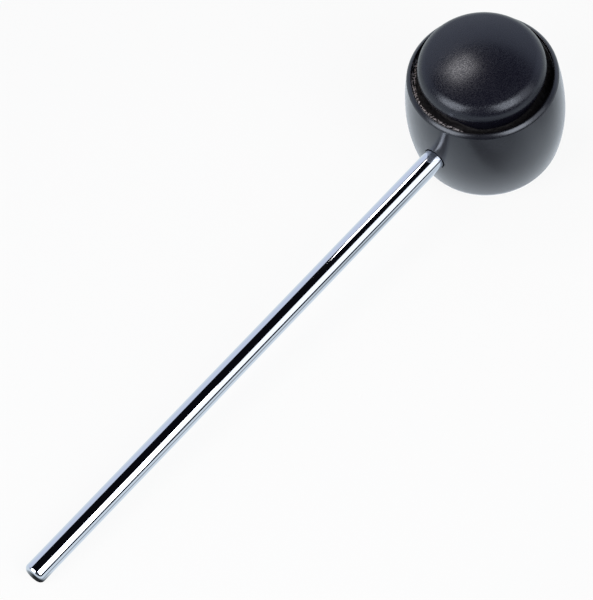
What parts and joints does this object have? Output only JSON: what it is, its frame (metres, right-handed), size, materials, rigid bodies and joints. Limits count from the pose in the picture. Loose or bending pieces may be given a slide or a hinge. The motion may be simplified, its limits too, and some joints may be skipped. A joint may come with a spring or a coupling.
{
  "type": "bass drum beater",
  "caption": "Bass drum beater: a straight round shaft that a pedal clamps, a barrel-shaped head with a rounded lip, and a domed rubber striking pad set in its front.",
  "frame": {"origin": "centre of the head's flat back", "axes": "+Z along the head's axis out of the striking pad; the shaft leaves the head along -X"},
  "size_m": [0.2678, 0.0574, 0.0579],
  "materials": {
    "shaft": "polished chrome plate",
    "shaft_bush": "as turned",
    "barrel": "satin black moulding",
    "lock_pin": "spring steel",
    "pad_adhesive": "set black glue with a wrinkled skin",
    "striking_pad": "dense moulded rubber with a fine dull grain"
  },
  "bodies": {
    "root": {"shaft": "shaft", "shaft_bush": "shaft_bush", "barrel": "barrel", "lock_pin": "lock_pin", "pad_adhesive": "pad_adhesive", "striking_pad": "striking_pad"}
  },
  "joints": []
}
